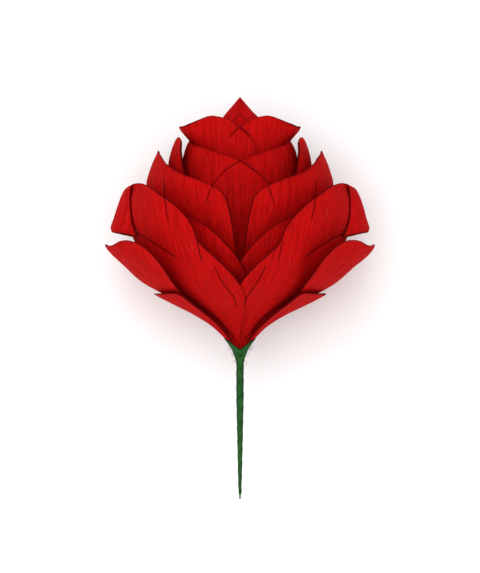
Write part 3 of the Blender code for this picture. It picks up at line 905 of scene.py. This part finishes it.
def stemWrapPiece():
    sides, rows, bore = stemLook["sides"], stemLook["rows"], stemLook["bore"]
    heights = np.linspace(stemLook["bareWire"], stemLook["length"], rows + 1)
    radii = radiusAt(stemLook["outline"], heights)
    ringHeights = np.concatenate([heights, heights[[-1, 0]], heights[:1]])  # up the outside, down the bore
    ringRadii = np.concatenate([radii, [bore, bore], radii[:1]])
    radius, height, azimuth = ringGrid(ringRadii, ringHeights, sides)
    outer = np.zeros(len(ringRadii))
    outer[1:rows] = 1
    up, around, down = stemLook["grainSlant"]
    across, along = height * up + azimuth * around, azimuth * around - height * down
    fields = {
        "paper": np.stack([across * mm, along * mm, 0 * radius + stemLook["grainPlace"]], axis=-1),
        "crease": np.zeros(radius.shape + (3,)),
        "open": outer[:, None] * np.ones(sides),
        # painted shade: how far round to the side a point is, which darkens the stem's sides
        "sides": abs(np.sin(azimuth)),
    }
    faces = gridFaces(len(ringRadii) - 1, sides, wrap=True)
    mesh = sheetMesh("stemWrap", roundAxis(radius, height, azimuth), faces, fields)
    mergeDoubles(mesh)
    inputs = {**inMetres(stemLook["strip"]), "Seed": stemLook["seed"], "Material": greenCrepe}
    finishPiece("stemWrap", mesh, woundStripTree(), inputs, "stem_wrap")


stemWrapPiece()
print("stage: stem wrapped")

calyxLook = {
    "outline": [(1.62, 0.0), (1.84, 1.5), (2.4, 3.1), (3.25, 5.3), (4.6, 7.4), (6.45, 9.9)],
    "outlineLength": 11,
    "seat": 54.4,
    "wall": 0.45,
    "rimWall": 0.18,
    "wallFrom": 0.7,
    "floor": 0.60,
    "notch": 0.63,
    "notchPower": 1.5,
    # painted crease shade: a small dark X on the calyx
    "crease": [(1.3, 58.6), (0.0, 57.3), (0.9, 56.7)],
    "creaseTaper": 0.5,
    # mm over which the calyx's painted side shade comes in
    "sideShadeWidth": 1.2,
    "grainRadius": 3.5,
    "grainPlace": 70,
    "sides": 144,
    "rows": 40,
    "seed": 5.0,
    "sizes": {
        "Flute Width": 0.9,
        "Flute Length": 9,
        "Flute Depth": 0.09,
        "Gather Depth": 0.0,
        "Ruffle Depth": 0.0,
        "Dent Depth": 0.0,
    },
}


def calyxPiece():
    sides, rows, outline = calyxLook["sides"], calyxLook["rows"], calyxLook["outline"]
    turn = np.linspace(0, 2 * math.pi, sides, endpoint=False)
    notch, bore = calyxLook["notch"], np.full(sides, stemLook["bore"])
    reach = notch + (1 - notch) * np.abs(np.sin(turn)) ** calyxLook["notchPower"]
    rings = [(bore, np.zeros(sides), np.full(sides, farAway))]
    for row in range(rows + 1):  # up the outside to the rim
        shape = alongStations(outline, reach * row / rows)
        rings.append((shape[:, 0], shape[:, 1], reach * (rows - row) / rows * calyxLook["outlineLength"]))
    for row in range(rows + 1):  # down the inside to the floor
        shape = alongStations(outline, reach + (calyxLook["floor"] - reach) * row / rows)
        thicker = calyxLook["wall"] - calyxLook["rimWall"]
        wall = calyxLook["rimWall"] + thicker * smoothStep(0, calyxLook["wallFrom"], row / rows)
        rings.append((shape[:, 0] - wall, shape[:, 1], reach * row / rows * calyxLook["outlineLength"]))
    rings.append((bore, rings[-1][1], np.full(sides, farAway)))
    radius, height, margin = (np.array([ring[index] for ring in rings]) for index in range(3))
    azimuth = np.ones(len(rings))[:, None] * turn
    x, z = radius * np.sin(azimuth), calyxLook["seat"] + height
    creaseGap, creaseShown = nearLine(abs(x), z, calyxLook["crease"], calyxLook["creaseTaper"])
    grain = [azimuth * calyxLook["grainRadius"] * mm, height * mm, 0 * radius + calyxLook["grainPlace"]]
    fields = {
        "paper": np.stack(grain, axis=-1),
        "margin": margin,
        "crease": np.stack([creaseGap, creaseShown, 0 * radius], axis=-1),
        # painted shade: how near the calyx's outline a point lies, which darkens its two sides
        "sides": 1 - (radius - abs(x)) / calyxLook["sideShadeWidth"],
        "ruffle": 0 * radius,
        "open": 0 * radius,
        "gather": 0 * radius,
    }
    faces = gridFaces(len(rings) - 1, sides, wrap=True)
    last = (len(rings) - 1) * sides
    faces += [(last + side, last + (side + 1) % sides, (side + 1) % sides, side) for side in range(sides)]
    mesh = sheetMesh("calyx", roundAxis(radius, z, azimuth), faces, fields)
    mergeDoubles(mesh)
    inputs = {**inMetres(calyxLook["sizes"]), "Seed": calyxLook["seed"], "Material": greenCrepe}
    finishPiece("calyx", mesh, crepeSheet, inputs, "calyx")


calyxPiece()

fibreLook = {  # where the strip's end meets the calyx
    "colour": (0.30, 0.34, 0.29, 1),
    "darker": 0.55,
    "grain": (0.5, 0.9, 2.0),
    "roughness": 0.85,
    "low": 53.0,
    "high": 61.5,
    "perSquareMm": 1.1,
    "length": 2.0,
    "radius": 0.06,
    "tipShare": 0.3,
    "corners": 5,
    "scales": (0.45, 1.25),
    "tilt": 1.4,
    "sideShare": 0.72,
    "sides": 24,
    "rows": 12,
    "seed": 4,
}

fibreSizes = {
    "Density": fibreLook["perSquareMm"] / mm**2,
    "Length": fibreLook["length"] * mm,
    "Radius": fibreLook["radius"] * mm,
    "Tilt": fibreLook["tilt"],
    "Side Share": fibreLook["sideShare"],
}


def fibreTree():  # scatters thin fibres over a surface and drops the surface itself
    group, source, sink = newTree("frayedFibres", fibreSizes, "NodeSocketInt", fibreLook["seed"])
    size = source.outputs
    scatter = group.nodes.new("GeometryNodeDistributePointsOnFaces")
    group.links.new(size["Geometry"], scatter.inputs["Mesh"])
    group.links.new(size["Density"], scatter.inputs["Density"])
    atSides = mathNode(group, "GREATER_THAN", namedField(group, "sides"), size["Side Share"])
    group.links.new(atSides, scatter.inputs["Selection"])
    group.links.new(size["Seed"], scatter.inputs["Seed"])
    fibre = group.nodes.new("GeometryNodeMeshCone")
    fibre.inputs["Vertices"].default_value = fibreLook["corners"]
    tip = mathNode(group, "MULTIPLY", size["Radius"], fibreLook["tipShare"])
    group.links.new(size["Radius"], fibre.inputs["Radius Bottom"])
    group.links.new(tip, fibre.inputs["Radius Top"])
    group.links.new(size["Length"], fibre.inputs["Depth"])
    place = group.nodes.new("GeometryNodeInstanceOnPoints")
    group.links.new(scatter.outputs["Points"], place.inputs["Points"])
    group.links.new(fibre.outputs["Mesh"], place.inputs["Instance"])
    group.links.new(scatter.outputs["Rotation"], place.inputs["Rotation"])
    scale = group.nodes.new("FunctionNodeRandomValue")
    scale.inputs[2].default_value, scale.inputs[3].default_value = fibreLook["scales"]
    group.links.new(size["Seed"], scale.inputs["Seed"])
    group.links.new(scale.outputs[1], place.inputs["Scale"])
    lean = group.nodes.new("FunctionNodeRandomValue")
    lean.data_type = "FLOAT_VECTOR"
    group.links.new(size["Seed"], lean.inputs["Seed"])
    centred = group.nodes.new("ShaderNodeVectorMath")
    centred.operation = "SUBTRACT"
    centred.inputs[1].default_value = (0.5, 0.5, 0.5)
    group.links.new(lean.outputs[0], centred.inputs[0])
    spread = group.nodes.new("ShaderNodeVectorMath")
    spread.operation = "SCALE"
    group.links.new(centred.outputs[0], spread.inputs[0])
    group.links.new(size["Tilt"], spread.inputs["Scale"])
    turn = group.nodes.new("GeometryNodeRotateInstances")
    group.links.new(place.outputs[0], turn.inputs["Instances"])
    group.links.new(spread.outputs[0], turn.inputs["Rotation"])
    return endTree(group, source, sink, turn.outputs[0])


def fibreMaterial():
    made, tree, shader = newMaterial("fibre")
    place = tree.nodes.new("ShaderNodeTexCoord")
    noise = stretchedNoise(tree, place.outputs["Object"], *fibreLook["grain"])
    pale = fibreLook["colour"]
    dark = tuple(channel * fibreLook["darker"] for channel in pale[:3]) + (1,)
    tree.links.new(mixColour(tree, noise, pale, dark), shader.inputs["Base Color"])
    shader.inputs["Roughness"].default_value = fibreLook["roughness"]
    return made


def fibrePiece():
    sides, rows = fibreLook["sides"], fibreLook["rows"]
    heights = np.linspace(fibreLook["low"], fibreLook["high"], rows + 1)
    outline = stemLook["outline"][:-1]
    outline = outline + [(radius, calyxLook["seat"] + height) for radius, height in calyxLook["outline"]]
    radius, height, azimuth = ringGrid(radiusAt(outline, heights), heights, sides)
    points = roundAxis(radius, height, azimuth)
    faces = gridFaces(rows, sides, wrap=True)
    mesh = sheetMesh("frayedFibres", points, faces, {"sides": abs(np.sin(azimuth))})
    inputs = {**fibreSizes, "Seed": fibreLook["seed"], "Material": fibreMaterial()}
    finishPiece("frayedFibres", mesh, fibreTree(), inputs, None)


fibrePiece()
print("stage: calyx and fibres made")

wireLook = {
    "radius": 0.36,
    "endRadius": 0.26,
    "bevel": 0.10,
    "length": 94.4,
    "sides": 32,
    "sharpAngle": 40,
    "colour": (0.012, 0.040, 0.012, 1),
    "worn": (0.005, 0.018, 0.006, 1),
    "grain": (0.12, 1.5, 3.0),
    "roughness": (0.25, 0.3),  # the least, and what the noise adds
}


def wireMaterial():
    made, tree, shader = newMaterial("wire")
    place = tree.nodes.new("ShaderNodeTexCoord")
    noise = stretchedNoise(tree, place.outputs["Object"], *wireLook["grain"])
    colour = mixColour(tree, noise, wireLook["colour"], wireLook["worn"])
    tree.links.new(colour, shader.inputs["Base Color"])
    least, added = wireLook["roughness"]
    tree.links.new(mathNode(tree, "MULTIPLY_ADD", noise, added, least), shader.inputs["Roughness"])
    return made


def wirePiece():
    full, top, sides = wireLook["radius"], wireLook["length"], wireLook["sides"]
    radii = (0.0, wireLook["endRadius"], full, full, 0.0)
    heights = (0.0, 0.0, wireLook["bevel"], top, top)
    points = roundAxis(*ringGrid(radii, heights, sides))
    mesh = sheetMesh("stemWire", points, gridFaces(len(radii) - 1, sides, wrap=True), {})
    mergeDoubles(mesh)
    mesh.materials.append(wireMaterial())
    layPiece("stemWire", mesh, "stem_wire", wireLook["sharpAngle"])


wirePiece()
print("stage: stem made")


# Floor, lights and camera

stageLook = {
    "floorSize": 6,
    "floorColour": (0.93, 0.93, 0.93, 1),
    "floorRoughness": 0.9,
    "worldStrength": 0.81,
    "lamps": {  # place, power and size
        "keyLamp": ((-0.16, 0.26, 1.08), 6.5, 0.9),
        "fillRight": ((0.62, -0.58, 0.45), 1.7, 0.9),
        "fillLeft": ((-0.62, -0.58, 0.45), 1.7, 0.9),
    },
    "aim": (0, 0.02, 0.03),
    "lens": 200.0,
    "sensor": 24,
    "pictureHeight": 0.2292,  # what the picture's height covers at the rose
    "pictureMiddle": 0.085,  # how far up the rose its middle is
}


def buildStage():
    bpy.ops.mesh.primitive_plane_add(size=stageLook["floorSize"], location=(0, 0, 0))
    floor = bpy.context.object
    floor.name = "floor"
    paint, _, shader = newMaterial("floorPaint")
    shader.inputs["Base Color"].default_value = stageLook["floorColour"]
    shader.inputs["Roughness"].default_value = stageLook["floorRoughness"]
    shader.inputs["Specular IOR Level"].default_value = 0.0
    floor.data.materials.append(paint)
    world = bpy.context.scene.world or bpy.data.worlds.new("world")
    bpy.context.scene.world = world
    world.use_nodes = True
    world.node_tree.nodes["Background"].inputs["Color"].default_value = (1, 1, 1, 1)
    world.node_tree.nodes["Background"].inputs["Strength"].default_value = stageLook["worldStrength"]
    for name, (place, power, size) in stageLook["lamps"].items():
        lamp = bpy.data.lights.new(name, "AREA")
        lamp.energy = power
        lamp.size = size
        holder = bpy.data.objects.new(name, lamp)
        holder.location = place
        aim = Vector(stageLook["aim"]) - Vector(place)
        holder.rotation_euler = aim.to_track_quat("-Z", "Y").to_euler()
        bpy.context.scene.collection.objects.link(holder)


def placeCamera():
    camera = bpy.data.cameras.new("camera")
    camera.sensor_fit = "VERTICAL"
    camera.sensor_height = stageLook["sensor"]
    camera.lens = stageLook["lens"]
    camera.clip_start = 0.05
    holder = bpy.data.objects.new("camera", camera)
    bpy.context.scene.collection.objects.link(holder)
    middle = Vector(stemEnd["pos_m"]) + roseAxis * stageLook["pictureMiddle"]
    facing = Vector((0, -roseAxis.z, roseAxis.y))  # from the rose's front to the camera
    distance = camera.lens * stageLook["pictureHeight"] / camera.sensor_height
    turn = Matrix((Vector((1, 0, 0)), roseAxis, facing)).transposed()
    holder.rotation_euler = turn.to_euler()
    holder.location = middle + facing * distance
    bpy.context.scene.camera = holder


buildStage()
placeCamera()
bpy.context.scene.view_settings.view_transform = "Standard"
print("stage: floor, lights and camera set")
